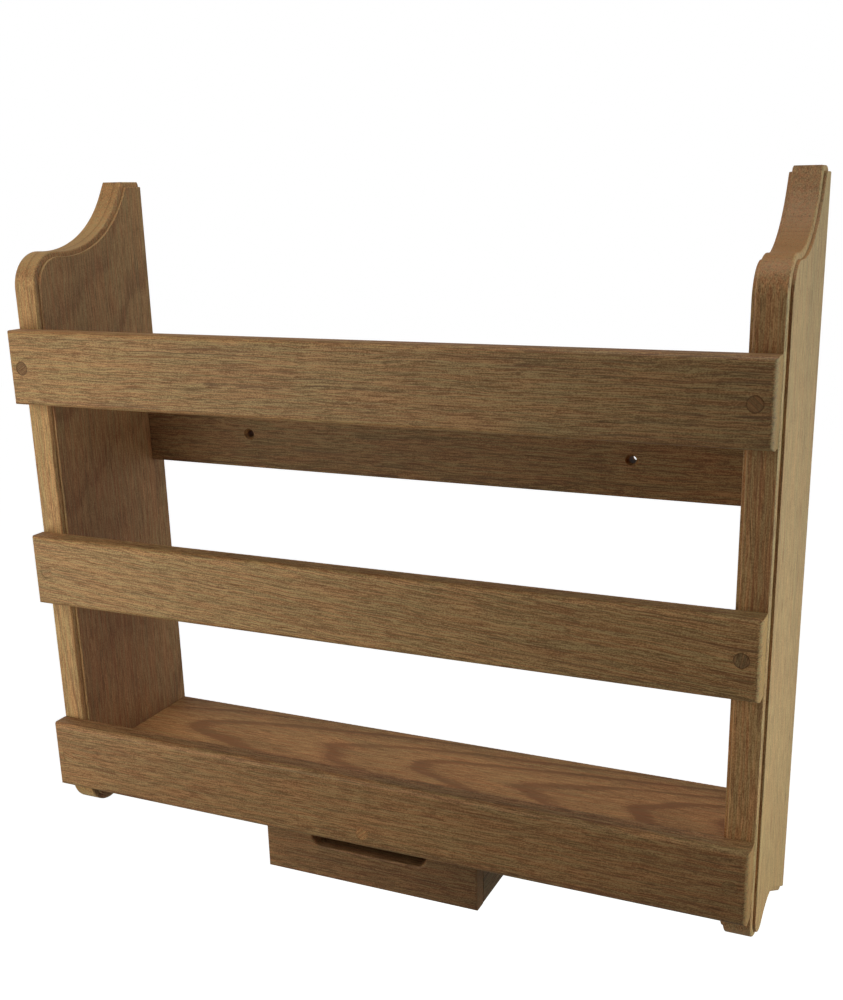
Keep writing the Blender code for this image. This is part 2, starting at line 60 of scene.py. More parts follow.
# Camera, in the rack's own frame.
CAMERA_PLACE = (0.3090, -0.6787, 0.1464)
CAMERA_YAW = 0.4107
CAMERA_PITCH = -0.2944
CAMERA_ROLL = -0.0177
CAMERA_LENS_MM = 44.07
CAMERA_SHIFT = (-0.0371, 0.0658)

# Lights: place, aim, width, height, watts and colour.
MIDDLE_AIM = (0, -0.05, -0.05)
RIGHT_AIM = (0.2, -0.05, -0.05)
SHELF_AIM = (0, -0.09, 0)
KEY_COLOUR = (0.93, 1.0, 0.84)
LIGHTS = {
    "key_front": ((-0.30, -0.60, 0.0), MIDDLE_AIM, 0.35, 0.60, 1.35, KEY_COLOUR),
    "key_high": ((-0.45, -0.55, 0.25), MIDDLE_AIM, 0.35, 0.30, 1.15, KEY_COLOUR),
    "key_low": ((-0.55, -0.42, -0.20), MIDDLE_AIM, 0.35, 0.30, 1.05, KEY_COLOUR),
    "side": ((0.9, -0.03, 0.0), RIGHT_AIM, 0.3, 0.9, 5.7, (0.66, 1.0, 0.92)),
    "side_front": ((1.2, -0.55, 0.1), RIGHT_AIM, 0.5, 0.9, 2.1, WHITE),
    "side_back": ((1.2, 0.6, 0.0), RIGHT_AIM, 0.6, 0.9, 3.7, (0.88, 1.0, 0.96)),
    "top": ((0.0, -0.09, 1.4), SHELF_AIM, 0.6, 0.3, 9, (1.0, 0.97, 0.88)),
    "behind_left": ((-1.2, 1.0, 0.2), MIDDLE_AIM, 1.2, 1.2, 1.3, WHITE),
    "back": ((0.0, 1.6, -0.1), MIDDLE_AIM, 2.0, 2.0, 5.5, WHITE),
    "left": ((-1.5, 0.35, 0.1), MIDDLE_AIM, 1.0, 1.0, 6, WHITE),
}
FLOOR_DROP = 1.2  # the floor under the rack's lowest point
FLOOR_REACH = 8
FLOOR_SPECKS = ((40, 40, 40), 3.0)
FLOOR_GREYS = ((0.78, 0.78, 0.77), (0.82, 0.82, 0.81))
FLOOR_ROUGHNESS = 0.9

# Modelling.
OVERSHOOT = 1 * MM  # how far a cutter reaches past a face
SINK_FLARE = 0.9  # how much a countersink's cutter widens for each unit past the face
TOLERANCE = 0.1 * MM  # an edge this close to a face lies on it
LONG_EDGE = 5 * MM  # a board's edges along an axis are longer than this
SHARP_ANGLE = math.radians(32)
FLUTED_SHARP_ANGLE = math.radians(50)
ARC_STEP = math.radians(3)

# Side panels, seen from the side: the scroll at the top and the foot at the bottom.
SHOULDER_DROP = 60.5 * MM
SHOULDER_RADIUS = 21.1 * MM
SWEEP_RADIUS = 65.6 * MM
SWEEP_LEAN = math.radians(4.5)
TOP_SLOPE = math.radians(59)
FOOT_RISE = 41.4 * MM
FOOT_RADIUS = 18 * MM
ARCH_RADIUS = 45 * MM
ARCH_LEAN = math.radians(21.8)
BOTTOM_SLOPE = math.radians(29)

# Moulding along both edges of a panel.
MOULD_INSET = 3.0 * MM
MOULD_ROUND_WIDTH = 1.3 * MM
MOULD_QUIRK = 1.6 * MM
MOULD_STEPS = 10
ARRIS = 0.5 * MM
ARRIS_BOW = 0.3  # the eased arris's middle, as a share of its size

# Rounded and eased edges.
SLAT_ROUND = 3.5 * MM
DRAWER_ROUND = 2.5 * MM
BOARD_EASE = 0.8 * MM
DRAWER_EASE = 0.6 * MM
STRIP_EASE = 0.5 * MM
BACK_EASE = 0.4 * MM
FLOOR_EASE = 0.15 * MM

# Holes in the rail, the shelf and the panels.
WALL_HOLE_SPACING = 255 * MM
WALL_HOLE_RADIUS = 2.25 * MM
WALL_SINK_RADIUS = 3.9 * MM
WALL_SINK_DEPTH = 2 * MM
SCREW_HOLE_RADIUS = 2.2 * MM
DOWEL_FIT = 0.1 * MM
END_ROOM = 0.3 * MM  # past a dowel's end or under a screw's head
PLUG_GAP = 0.08 * MM

# The drawer's notch and grooves, and the runners.
NOTCH_WIDTH = 75 * MM
NOTCH_DEPTH = 7.5 * MM
NOTCH_CORNER = 6 * MM
GROOVE_ROOM = 0.2 * MM
RUNNER_WIDTH = 10 * MM
RUNNER_SINK_RADIUS = 3.15 * MM
RUNNER_SINK_DEPTH = 2.1 * MM
RUNNER_HOLE_RADIUS = 1.7 * MM
RUNNER_HOLE_DEPTH = 15 * MM
TONGUE_HEIGHT = 5 * MM
TONGUE_SIDE_ROOM = 0.5 * MM
TONGUE_END_ROOM = 0.4 * MM
TONGUE_UNDER_ROOM = 0.6 * MM
TONGUE_OVER_ROOM = 0.3 * MM

# Plugs and dowels.
PLUG_FRONT_CHAMFER = 0.12 * MM
PLUG_BACK_CHAMFER = 0.4 * MM
DOWEL_CHAMFER = 1 * MM
DOWEL_FLUTES = 16
FLUTE_POINTS = 6
FLUTE_DEPTH = 0.22 * MM

# Screws: a head is (radius, height) pairs from its top to the start of the shank.
PAN_HEAD_HEIGHT = 1.8 * MM
PAN_HEAD = (
    (2.4 * MM, 0),
    (3.2 * MM, 0.35 * MM),
    (3.6 * MM, 0.9 * MM),
    (3.6 * MM, PAN_HEAD_HEIGHT),
    (1.9 * MM, PAN_HEAD_HEIGHT),
)
FLAT_HEAD = ((2.85 * MM, 0), (3.0 * MM, 0.15 * MM), (1.5 * MM, 2.0 * MM))
PLAIN_SHANK = 0.28  # the share of the shank that has no thread
THREAD_PITCH = 1.6 * MM
THREAD_STEPS = 8  # rings of points to a turn
THREAD_CORE = 0.68  # the core's radius, as a share of the shank's
CREST_SHARPNESS = 4
SCREW_TAPER = 5 * MM
SCREW_TIP = 0.12 * MM
RECESS_ARM = 0.42  # as a share of the head's top radius
RECESS_DEPTH = 0.75  # as a share of the head's height
RECESS_WIDTH = 0.7 * MM

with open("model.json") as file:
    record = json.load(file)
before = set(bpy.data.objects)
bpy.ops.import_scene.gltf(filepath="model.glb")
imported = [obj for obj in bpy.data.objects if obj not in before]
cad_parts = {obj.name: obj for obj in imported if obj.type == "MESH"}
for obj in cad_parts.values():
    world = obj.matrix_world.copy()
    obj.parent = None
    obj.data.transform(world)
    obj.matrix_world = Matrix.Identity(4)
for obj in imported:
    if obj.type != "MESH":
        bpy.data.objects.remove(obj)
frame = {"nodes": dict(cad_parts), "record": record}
cad_low, cad_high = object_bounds()
BODY_OF = {n: body for body, nodes in frame["record"]["behaviour"]["bodies"].items() for n in nodes}


# ---------------------------------------------------------------- mesh tools


def as_object(name, bm):
    bmesh.ops.recalc_face_normals(bm, faces=bm.faces[:])
    mesh = bpy.data.meshes.new(name)
    bm.to_mesh(mesh)
    bm.free()
    made = bpy.data.objects.new(name, mesh)
    bpy.context.scene.collection.objects.link(made)
    return made


def applied(piece):
    """Puts the result of the piece's modifiers into its mesh."""
    graph = bpy.context.evaluated_depsgraph_get()
    result = bpy.data.meshes.new_from_object(piece.evaluated_get(graph), depsgraph=graph)
    piece.modifiers.clear()
    piece.data = result


def carve(piece, cutters):
    """Subtracts the cutters from the piece and removes them."""
    for cutter in cutters:
        difference = piece.modifiers.new(cutter.name, "BOOLEAN")
        difference.operation = "DIFFERENCE"
        difference.solver = "EXACT"
        difference.object = cutter
    applied(piece)
    for cutter in cutters:
        bpy.data.objects.remove(cutter)


def settle(piece, node, finish, sharp=SHARP_ANGLE):
    """Smooths the piece, gives it its material and lets it stand for the CAD node on its body."""
    piece.data.shade_smooth()
    piece.data.set_sharp_from_angle(angle=sharp)
    even = piece.modifiers.new("even_normals", "WEIGHTED_NORMAL")
    even.keep_sharp = True
    applied(piece)
    piece.data.materials.clear()
    piece.data.materials.append(finish)
    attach(piece, BODY_OF[node])
    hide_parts(node)


def middle(node):
    low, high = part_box(node)
    return (low + high) / 2


def half_size(node, axis):
    low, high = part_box(node)
    return (high[axis] - low[axis]) / 2


def box_mesh(low, high):
    low, high = Vector(low), Vector(high)
    bm = bmesh.new()
    verts = bmesh.ops.create_cube(bm, size=1)["verts"]
    bmesh.ops.scale(bm, vec=high - low, verts=verts)
    bmesh.ops.translate(bm, vec=(low + high) / 2, verts=verts)
    return bm


def extruded(outline, start, length):
    """A mesh with an (x, z) outline, pulled from y = start towards the back."""
    bm = bmesh.new()
    face = bm.faces.new([bm.verts.new((x, start, z)) for x, z in outline])
    pulled = bmesh.ops.extrude_face_region(bm, geom=[face])["geom"]
    moved = [item for item in pulled if isinstance(item, bmesh.types.BMVert)]
    bmesh.ops.translate(bm, vec=(0, length, 0), verts=moved)
    return bm


def lofted(rings):
    """A closed mesh through rings of (x, y, z) points, with flat ends."""
    bm = bmesh.new()
    rings = [[bm.verts.new(place) for place in ring] for ring in rings]
    count = len(rings[0])
    for near, far in zip(rings, rings[1:]):
        for here in range(count):
            after = (here + 1) % count
            bm.faces.new((near[here], near[after], far[after], far[here]))
    bm.faces.new(rings[0])
    bm.faces.new(rings[-1])
    return bm


def turned(name, profile, segments, shape=None):
    """A solid turned about +Z from (radius, height) pairs.

    shape(radius, angle, height), if there is one, gives the radius at each point.
    """
    angles = [2 * math.pi * step / segments for step in range(segments)]
    rings = []
    for radius, height in profile:
        radii = [shape(radius, a, height) if shape else radius for a in angles]
        rings.append([(r * math.cos(a), r * math.sin(a), height) for r, a in zip(radii, angles)])
    return as_object(name, lofted(rings))


def bevel_edges(bm, chosen, width, segments):
    """Rounds each edge for which chosen(one end, other end) is true."""
    edges = [edge for edge in bm.edges if chosen(edge.verts[0].co, edge.verts[1].co)]
    bmesh.ops.bevel(
        bm, geom=edges, offset=width, segments=segments, profile=0.5, affect="EDGES", clamp_overlap=True
    )


def running(axis):
    """Chooses the edges along an axis."""
    return lambda a, b: abs(a[axis] - b[axis]) > LONG_EDGE


def on_front(low):
    """Chooses the edges of the front face."""
    return lambda a, b: max(a.y, b.y) < low.y + TOLERANCE


def on_back(high):
    """Chooses the edges of the back face."""
    return lambda a, b: min(a.y, b.y) > high.y - TOLERANCE


def point(piece, start, direction):
    """Turns a piece's +Z to a direction and moves its origin to start."""
    turn = Vector(UP).rotation_difference(Vector(direction)).to_matrix().to_4x4()
    piece.matrix_world = Matrix.Translation(Vector(start)) @ turn
    bpy.context.view_layer.update()
    return piece


def drill(start, direction, radius, depth, segments=32):
    """A round cutter."""
    return point(turned("drill", [(radius, -OVERSHOOT), (radius, depth)], segments), start, direction)


def countersink(start, direction, sink_radius, sink_depth, hole_radius, depth, segments):
    """A cutter for a countersunk hole; it widens on outside the board."""
    profile = [
        (sink_radius + SINK_FLARE * OVERSHOOT, -OVERSHOOT),
        (sink_radius, 0),
        (hole_radius, sink_depth),
        (hole_radius, depth),
    ]
    return point(turned("countersink", profile, segments), start, direction)


def block(*spans):
    """A box-shaped cutter from its two ends in x, in y and in z."""
    low = [min(span) for span in spans]
    high = [max(span) for span in spans]
    return as_object("block", box_mesh(low, high))


# ---------------------------------------------------------------- materials


# The places of the Mix node's colour sockets: factor, first and second colour, and the result.
MIX_INPUTS = (0, 6, 7)
MIX_OUTPUT = 2


class Graph:
    """Short calls for building one material's node tree."""

    def __init__(self, name):
        self.material = bpy.data.materials.new(name)
        self.material.use_nodes = True
        self.tree = self.material.node_tree
        self.shader = self.tree.nodes["Principled BSDF"]

    def feed(self, socket, value):
        if isinstance(value, bpy.types.NodeSocket):
            self.tree.links.new(value, socket)
        elif isinstance(value, tuple) and len(value) == 3 and socket.type == "RGBA":
            socket.default_value = (*value, 1.0)
        else:
            socket.default_value = value

    def node(self, kind, settings=None, **inputs):
        made = self.tree.nodes.new("ShaderNode" + kind)
        for key, value in (settings or {}).items():
            setattr(made, key, value)
        for key, value in inputs.items():
            self.feed(made.inputs[key.replace("_", " ")], value)
        return made

    def math(self, operation, *values, clamp=False):
        made = self.node("Math", {"operation": operation, "use_clamp": clamp})
        for socket, value in zip(made.inputs, values):
            self.feed(socket, value)
        return made.outputs[0]

    def vector(self, operation, *values):
        made = self.node("VectorMath", {"operation": operation})
        for socket, value in zip(made.inputs, values):
            self.feed(socket, value)
        return made.outputs[0]

    def scaled(self, value, factor):
        return self.node("VectorMath", {"operation": "SCALE"}, Vector=value, Scale=factor).outputs[0]

    def length(self, first, second):
        """The length of a flat vector from its two parts."""
        squares = self.math("ADD", self.math("POWER", first, 2.0), self.math("POWER", second, 2.0))
        return self.math("SQRT", squares)

    def noise(self, place, cells, detail=2.0, roughness=0.5):
        """3-D noise with so many cells to a metre on each axis."""
        spread = self.vector("MULTIPLY", place, cells)
        return self.node("TexNoise", Vector=spread, Scale=1.0, Detail=detail, Roughness=roughness)

    def bent(self, place, moved, cells, reach):
        """A place shifted by noise, across and into the board."""
        shift = self.vector("SUBTRACT", self.noise(moved, cells).outputs["Color"], (0.5, 0.5, 0.5))
        return self.vector("ADD", place, self.vector("MULTIPLY", shift, (0, reach, reach)))

    def span(self, value, low, high, to_low=0.0, to_high=1.0, soft=True):
        """Maps low..high to to_low..to_high, held at both ends."""
        made = self.node("MapRange", {"interpolation_type": "SMOOTHSTEP" if soft else "LINEAR"}, Value=value)
        for key, number in zip(("From Min", "From Max", "To Min", "To Max"), (low, high, to_low, to_high)):
            self.feed(made.inputs[key], number)
        return made.outputs[0]

    def ramp(self, factor, stops):
        made = self.node("ValToRGB", Fac=factor)
        elements = made.color_ramp.elements
        while len(elements) < len(stops):
            elements.new(0.5)
        for element, (place, level) in zip(elements, stops):
            element.position = place
            element.color = (level, level, level, 1.0)
        return made.outputs[0]

    def mix(self, factor, first, second):
        made = self.node("Mix", {"data_type": "RGBA"})
        for index, value in zip(MIX_INPUTS, (factor, first, second)):
            self.feed(made.inputs[index], value)
        return made.outputs[MIX_OUTPUT]

    def axes(self, order, seed, tilt=0.0):
        """The piece's own coordinates with the grain along the first axis, and the same moved by the seed.

        tilt turns the grain within the board's face.
        """
        parts = self.node("SeparateXYZ", Vector=self.node("TexCoord").outputs["Object"])
        joined = self.node("CombineXYZ")
        for socket, axis in zip(joined.inputs, order):
            self.feed(socket, parts.outputs["XYZ".index(axis)])
        settings = {"rotation_type": "Z_AXIS"}
        place = self.node("VectorRotate", settings, Vector=joined.outputs[0], Angle=tilt).outputs[0]
        return place, self.vector("ADD", place, seed)

    def wave(self, value, strength):
        """A noise value around 0.5 turned into a swing around 0."""
        return self.math("MULTIPLY_ADD", value, strength, -0.5 * strength)

    def shine(self, roughness, specular=0.5):
        self.feed(self.shader.inputs["Roughness"], roughness)
        self.shader.inputs["Specular IOR Level"].default_value = specular

    def bump(self, height, strength, distance):
        made = self.node("Bump", Height=height, Strength=strength, Distance=distance)
        self.feed(self.shader.inputs["Normal"], made.outputs[0])


TEAK_TAN = (0.41, 0.228, 0.101)
TEAK_BROWN = (0.19, 0.086, 0.036)
TEAK_PORE = (0.075, 0.034, 0.016)
TEAK_VEIN = (0.13, 0.054, 0.027)
TEAK_OLIVE_TINT = (0.93, 1.03, 1.04)
TEAK_RED_TINT = (1.08, 0.97, 0.95)
TEAK_SPECULAR = 0.3
# Painted highlight on a panel's front edge: how much paler it is made, and over how far the change fades in.
PAINTED_EDGE_LIGHT_TINT = (1.34, 1.50, 1.50)
PAINTED_EDGE_LIGHT_BLEND = 2 * MM

# Noise in teak: cells to a metre along, across and into the board. For a bend its reach comes next, for
# the others their detail and, where given, roughness.
RING_BEND = ((5, 22, 22), 10 * MM)
RING_WANDER = ((2, 9, 9), 1.0)
GRAIN_BEND = ((28, 90, 90), 3.0 * MM)
CLOUDS = ((3, 12, 12), 2.0)
FIBRES = {
    "hair": ((80, 2200, 2200), 1.0, 0.6),
    "line": ((12, 1400, 1400), 2.0, 0.6),
    "band": ((6, 200, 200), 2.0),
    "speck": ((1100, 1900, 1900), 1.0),
    "dash": ((95, 1500, 1500), 1.0),
    "vein": ((6, 760, 760), 1.0),
    "blush": ((24, 900, 900), 1.0),
}

# How far each noise swings the colour between brown and tan.
SWINGS = {"hair": 3.2, "line": 1.6, "band": 0.6, "speck": 2.6}

# Late wood along one growth ring: (place, darkness). The weakest ring has this share of the strongest.
LATE_WOOD = [(0.0, 0.3), (0.08, 0.0), (0.70, 0.15), (0.93, 1.0), (1.0, 0.3)]
WEAKEST_RING = 0.2
WANDER_RINGS = 3.0

# Noise values between which a mark comes in and, where four are given, what it makes there.
DASH_SPAN = (0.60, 0.72)
LINE_SPAN = (0.62, 0.40)
VEIN_SPAN = (0.63, 0.71)
BLUSH_SPAN = (0.35, 0.65)
CLOUD_LEVELS = (0.3, 0.7, 0.88, 1.12)
TEAK_ROUGHNESS = (0.3, 0.7, 0.66, 0.54)
VEIN_STRENGTH = 0.65
PORE_STRENGTH = 0.55
PORE_ROUGHNESS = 0.2

# End grain: how squarely a face cuts the fibres, and how much the swing dies down there.
END_GRAIN_SPAN = (0.3, 0.9)
END_GRAIN_CALM = 0.75
RIM_SPAN = (3.1 * MM, 4.0 * MM)

BIRCH = ((0.60, 0.45, 0.28), (0.47, 0.33, 0.19))
BEECH = ((0.62, 0.43, 0.26), (0.50, 0.33, 0.19))
STRIPES = ((9, 260, 260), 3.0, 0.6)
STRIPE_SPAN = (0.35, 0.65)
FLECKS = ((300, 1500, 1500), 1.0)
FLECK_LEVELS = (0.60, 0.70, 0.0, 0.45)
FLECK_SHADE = 0.6
PALE_ROUGHNESS = (0.3, 0.7, 0.55, 0.68)
PALE_SPECULAR = 0.35
STEEL_BRIGHT = (0.60, 0.59, 0.57)
STEEL_DULL = (0.42, 0.41, 0.39)
TURNING_MARKS = ((300, 300, 9000), 2.0)
DULL_PATCHES = ((500, 500, 500), 3.0)
DULL_SPAN = (0.35, 0.7)
MARK_ROUGHNESS = (0.3, 0.7, 0.22, 0.34)
DULL_ROUGHNESS = (0.45, 0.7, 0.0, 0.2)


def growth_rings(g, place, moved, pith, slope, spacing):
    """How dark the late wood is, from 0 to 1, in rings round the pith line."""
    from_pith = g.vector("SUBTRACT", g.bent(place, moved, *RING_BEND), (0, *pith))
    along, across, into = g.node("SeparateXYZ", Vector=from_pith).outputs
    radius = g.length(across, g.math("MULTIPLY_ADD", along, slope, into))
    wander = g.noise(moved, *RING_WANDER).outputs["Fac"]
    count = g.math("ADD", g.math("DIVIDE", radius, spacing), g.math("MULTIPLY", wander, WANDER_RINGS))
    late = g.ramp(g.math("FRACT", count), LATE_WOOD)
    each = g.node("TexWhiteNoise", {"noise_dimensions": "1D"}, W=g.math("FLOOR", count)).outputs["Value"]
    return g.math("MULTIPLY", late, g.math("MULTIPLY_ADD", each, 1 - WEAKEST_RING, WEAKEST_RING))


def fibre_colour(g, fibres, pore, calm, late, streak):
    """Teak's colour from its fibres, rings, red veins and pores, before the board's own tint."""
    swing = 0.0
    for name, strength in SWINGS.items():
        swing = g.math("ADD", g.wave(fibres[name], strength * streak), swing)
    swing = g.math("SUBTRACT", g.math("MULTIPLY", swing, calm), late)
    colour = g.mix(g.math("ADD", swing, 0.5, clamp=True), TEAK_BROWN, TEAK_TAN)
    colour = g.mix(g.span(fibres["vein"], *VEIN_SPAN, 0.0, VEIN_STRENGTH * streak), colour, TEAK_VEIN)
    colour = g.mix(g.math("MULTIPLY", pore, PORE_STRENGTH), colour, TEAK_PORE)
    blush = g.mix(g.span(fibres["blush"], *BLUSH_SPAN), TEAK_OLIVE_TINT, TEAK_RED_TINT)
    return g.vector("MULTIPLY", colour, blush)


# Painted highlight: makes the colour paler in a strip along one edge of the board, standing in for the key
# light falling on a panel's front edge.
def paint_edge_light(g, colour, along, across, edge, lean):
    from_edge = g.math("MULTIPLY_ADD", along, -lean, across)
    pale = g.span(from_edge, edge, edge + PAINTED_EDGE_LIGHT_BLEND, 1.0, 0.0)
    return g.mix(pale, colour, g.vector("MULTIPLY", colour, PAINTED_EDGE_LIGHT_TINT))


def wood(
    name, order, seed, pith, slope, spacing, ring, tilt=0.0, streak=1.0, tint=WHITE, drift=0.0,
    painted_edge_light=None, rim=0.0, ends=(1.2, 1.06, 0.86),
):
    """Teak cut from a log: growth rings round a pith line, hair-fine fibres, red streaks and open pores.

    order names the axes along, across and into the board, and tilt turns the grain within its face. pith is
    (across, into), the pith line's place in the piece's coordinates; slope tilts it, which draws arches on a
    flat-sawn face. spacing is the rings', ring their strength and streak the fibres' strength. tint is the
    board's own colour and drift how much lighter it gets per metre along. sapwood is (edge, lean): a painted
    highlight, the wood made paler where across is under edge + lean * along, standing in for the key light on
    a panel's front edge. rim is the strength of a dark ring round a plug's end, and ends the tint of faces
    cut across the fibres; on the side panels that tint is painted light, making their end-grain faces, the
    scroll tops among them, lighter as if lit from above and the front.
    """
    g = Graph(name)
    place, moved = g.axes(order, seed, tilt)
    along, across = g.node("SeparateXYZ", Vector=place).outputs[:2]
    late = g.math("MULTIPLY", growth_rings(g, place, moved, pith, slope, spacing), ring)
    grain = g.bent(moved, moved, *GRAIN_BEND)
    fibres = {kind: g.noise(grain, *settings).outputs["Fac"] for kind, settings in FIBRES.items()}
    pore = g.math("MULTIPLY", g.span(fibres["dash"], *DASH_SPAN), g.span(fibres["line"], *LINE_SPAN))
    facing = g.node("SeparateXYZ", Vector=g.node("TexCoord").outputs["Normal"]).outputs["XYZ".index(order[0])]
    end_grain = g.span(g.math("ABSOLUTE", facing), *END_GRAIN_SPAN)
    calm = g.math("MULTIPLY_ADD", end_grain, -END_GRAIN_CALM, 1.0)

    colour = fibre_colour(g, fibres, pore, calm, late, streak)
    broad = g.span(g.noise(moved, *CLOUDS).outputs["Fac"], *CLOUD_LEVELS, soft=False)
    level = g.math("MULTIPLY", broad, g.math("MULTIPLY_ADD", along, drift, 1.0))
    colour = g.scaled(g.vector("MULTIPLY", colour, tint), level)
    # Painted highlight along the left panel's front edge.
    if painted_edge_light:
        colour = paint_edge_light(g, colour, along, across, *painted_edge_light)
    if rim:
        colour = g.mix(g.span(g.length(along, across), *RIM_SPAN, 0.0, rim), colour, TEAK_PORE)
    # Faces across the fibres take the ends tint. On the side panels this is painted light: their end-grain
    # faces, the scroll tops among them, are made lighter as if lit from above and the front.
    colour = g.mix(end_grain, colour, g.vector("MULTIPLY", colour, ends))
    g.feed(g.shader.inputs["Base Color"], colour)

    rough = g.span(fibres["hair"], *TEAK_ROUGHNESS, soft=False)
    g.shine(g.math("MULTIPLY_ADD", pore, PORE_ROUGHNESS, rough), TEAK_SPECULAR)
    fine = g.math("MULTIPLY", g.math("ADD", fibres["hair"], fibres["line"]), 0.5)
    g.bump(g.math("SUBTRACT", fine, pore), strength=0.4, distance=0.12 * MM)
    return g.material


def pale_wood(name, order, seed, light, dark):
    """Beech or birch: pale, with short flecks and faint stripes."""
    g = Graph(name)
    moved = g.axes(order, seed)[1]
    stripe = g.noise(moved, *STRIPES).outputs["Fac"]
    fleck = g.noise(moved, *FLECKS).outputs["Fac"]
    colour = g.mix(g.span(stripe, *STRIPE_SPAN), light, dark)
    colour = g.mix(g.span(fleck, *FLECK_LEVELS), colour, tuple(FLECK_SHADE * c for c in dark))
    g.feed(g.shader.inputs["Base Color"], colour)
    g.shine(g.span(stripe, *PALE_ROUGHNESS, soft=False), PALE_SPECULAR)
    g.bump(stripe, strength=0.3, distance=0.1 * MM)
    return g.material


def metal(name):
    """Stainless steel with fine turning marks round its axis and a few dull patches."""
    g = Graph(name)
    place = g.node("TexCoord").outputs["Object"]
    marks = g.noise(place, *TURNING_MARKS).outputs["Fac"]
    dull = g.noise(place, *DULL_PATCHES).outputs["Fac"]
    g.feed(g.shader.inputs["Base Color"], g.mix(g.span(dull, *DULL_SPAN), STEEL_BRIGHT, STEEL_DULL))
    g.shader.inputs["Metallic"].default_value = 1.0
    g.shine(g.math("ADD", g.span(marks, *MARK_ROUGHNESS), g.span(dull, *DULL_ROUGHNESS)))
    g.bump(marks, strength=0.15, distance=0.05 * MM)
    return g.material


# Each board's wood; its place in the list gives the seed.
BOARD_LOOKS = {
    # The left panel's sapwood strip is a painted highlight on its front edge, and its ends tint is painted
    # light that makes its end-grain faces lighter as if lit from above.
    "left_side_panel": dict(
        order="ZYX", pith=(-0.06, 0.20), slope=0.10, spacing=7 * MM, ring=0.45, streak=0.55,
        tint=(1.07, 0.97, 0.94), drift=-0.3, painted_edge_light=(-0.1035, -0.012), ends=(1.38, 1.72, 1.88),
    ),
    # The right panel's ends tint is painted light: it makes its end-grain faces, the scroll top among them,
    # lighter as if lit from above.
    "right_side_panel": dict(
        order="ZYX", pith=(0.30, 0.22), slope=0.02, spacing=3.2 * MM, ring=0.25, streak=0.65,
        tint=(1.22, 1.16, 1.15), drift=-0.6, ends=(1.14, 1.15, 1.13),
    ),
    "top_front_slat": dict(
        order="XZY", pith=(-0.16, 0.02), slope=0.03, spacing=3.6 * MM, ring=0.3, drift=-0.8,
    ),
    "middle_front_slat": dict(
        order="XZY", pith=(0.12, -0.16), slope=0.05, spacing=5 * MM, ring=0.3, tilt=0.06,
        tint=(1.13, 1.13, 1.12),
    ),
    "bottom_front_slat": dict(
        order="XZY", pith=(-0.36, 0.0), slope=0.04, spacing=4 * MM, ring=0.4,
        tint=(1.02, 0.96, 0.95), drift=-0.4,
    ),
    "back_rail": dict(
        order="XZY", pith=(-0.1, 0.06), slope=0.02, spacing=3.5 * MM, ring=0.35, tint=(0.84, 0.82, 0.80),
    ),
    "bottom_shelf": dict(
        order="XYZ", pith=(-0.045, -0.25), slope=-0.10, spacing=7 * MM, ring=1.4, streak=0.6,
        tint=(1.13, 1.09, 1.00), drift=-0.3,
    ),
    "drawer_front": dict(
        order="XZY", pith=(-0.32, -0.02), slope=0.03, spacing=4 * MM, ring=0.35,
        tint=(0.72, 0.65, 0.66), drift=-3.0,
    ),
    # The drawer sides' tint is painted shade: it halves their colour, standing in for the shade they sit in
    # under the shelf and behind the right panel.
    "drawer_left_side": dict(
        order="YZX", pith=(-0.30, 0.0), slope=0.03, spacing=4 * MM, ring=0.35, tint=(0.50, 0.46, 0.46),
    ),
    "drawer_right_side": dict(
        order="YZX", pith=(-0.31, 0.0), slope=0.02, spacing=4 * MM, ring=0.35, tint=(0.50, 0.46, 0.46),
    ),
    "drawer_back": dict(order="XZY", pith=(-0.33, 0.0), slope=0.02, spacing=4 * MM, ring=0.35),
    "left_drawer_runner": dict(order="YXZ", pith=(-0.2, -0.3), slope=0.02, spacing=4 * MM, ring=0.35),
    "right_drawer_runner": dict(order="YXZ", pith=(0.2, -0.3), slope=0.02, spacing=4 * MM, ring=0.35),
    "left_drawer_stop": dict(order="XYZ", pith=(-0.2, -0.3), slope=0.0, spacing=4 * MM, ring=0.35),
    "right_drawer_stop": dict(order="XYZ", pith=(0.2, -0.3), slope=0.0, spacing=4 * MM, ring=0.35),
}

# Each plug's wood, its grain across the plug's length; its place in the list gives the seed.
PLUG_GRAIN = dict(order="XYZ", pith=(-0.3, 0.01), slope=0.0, spacing=4 * MM, ring=0.3)
PLUG_LOOKS = {
    "top_slat_left_bung": dict(tilt=0.5, tint=(0.66, 0.56, 0.50), rim=0.5, streak=0.8),
    "top_slat_right_bung": dict(tilt=-0.75, tint=(0.80, 0.72, 0.68), rim=0.5, streak=0.45),
    "middle_slat_left_bung": dict(tilt=0.1, tint=(1.0, 0.98, 0.97), rim=0.12, streak=0.8),
    "middle_slat_right_bung": dict(tilt=1.4, tint=(0.80, 0.78, 0.80), rim=0.6, streak=0.8),
    "bottom_slat_left_bung": dict(tilt=-0.2, tint=(1.02, 0.98, 0.97), rim=0.12, streak=0.8),
    "bottom_slat_centre_bung": dict(tilt=0.8, tint=(1.52, 1.38, 1.28), rim=0.25, streak=0.8),
    "bottom_slat_right_bung": dict(tilt=0.05, tint=(0.98, 0.93, 0.92), rim=0.05, streak=1.0),
}


# The first seed of each list, and the step from one seed to the next.
BOARD_SEEDS = ((1.3, 0.7, 2.1), (3.7, 2.9, 5.3))
PLUG_SEEDS = ((0.0, 0.0, 0.9), (1.7, 2.3, 0.0))


def seed_of(node, looks, first, step):
    """The node's own place in the noise, which keeps two boards from looking the same."""
    number = list(looks).index(node)
    return tuple(start + each * number for start, each in zip(first, step))


def board_finish(node):
    seed = seed_of(node, BOARD_LOOKS, *BOARD_SEEDS)
    return wood(f"teak_{node}", seed=seed, **BOARD_LOOKS[node])


